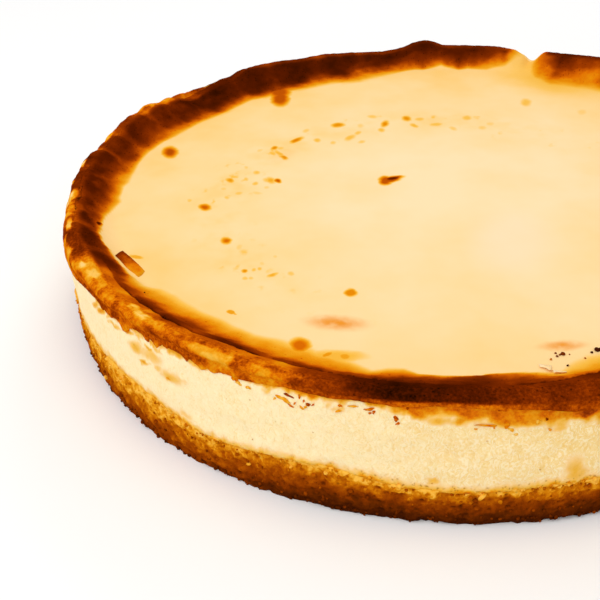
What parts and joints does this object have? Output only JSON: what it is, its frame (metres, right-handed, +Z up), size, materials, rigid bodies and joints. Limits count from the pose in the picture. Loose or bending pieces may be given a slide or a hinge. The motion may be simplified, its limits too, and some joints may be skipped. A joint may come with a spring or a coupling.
{
  "type": "baked cheesecake",
  "caption": "Whole round baked cheesecake, uncut: pressed biscuit base, smooth pale filling, dished top and a puckered browned rim.",
  "frame": {"origin": "middle of the flat underside, on the surface that the cake stands on", "axes": "+Z up through the cake, -Y towards the side that faces the viewer"},
  "size_m": [0.2603, 0.2602, 0.0437],
  "materials": {
    "biscuit": "toasted biscuit crumb, ragged and matt, darker at the foot",
    "filling": "baked cream cheese, satin and pale yellow, with a dark brown crusted rim"
  },
  "bodies": {
    "root": {"biscuit_base": "biscuit", "cheese_filling": "filling"}
  },
  "joints": []
}
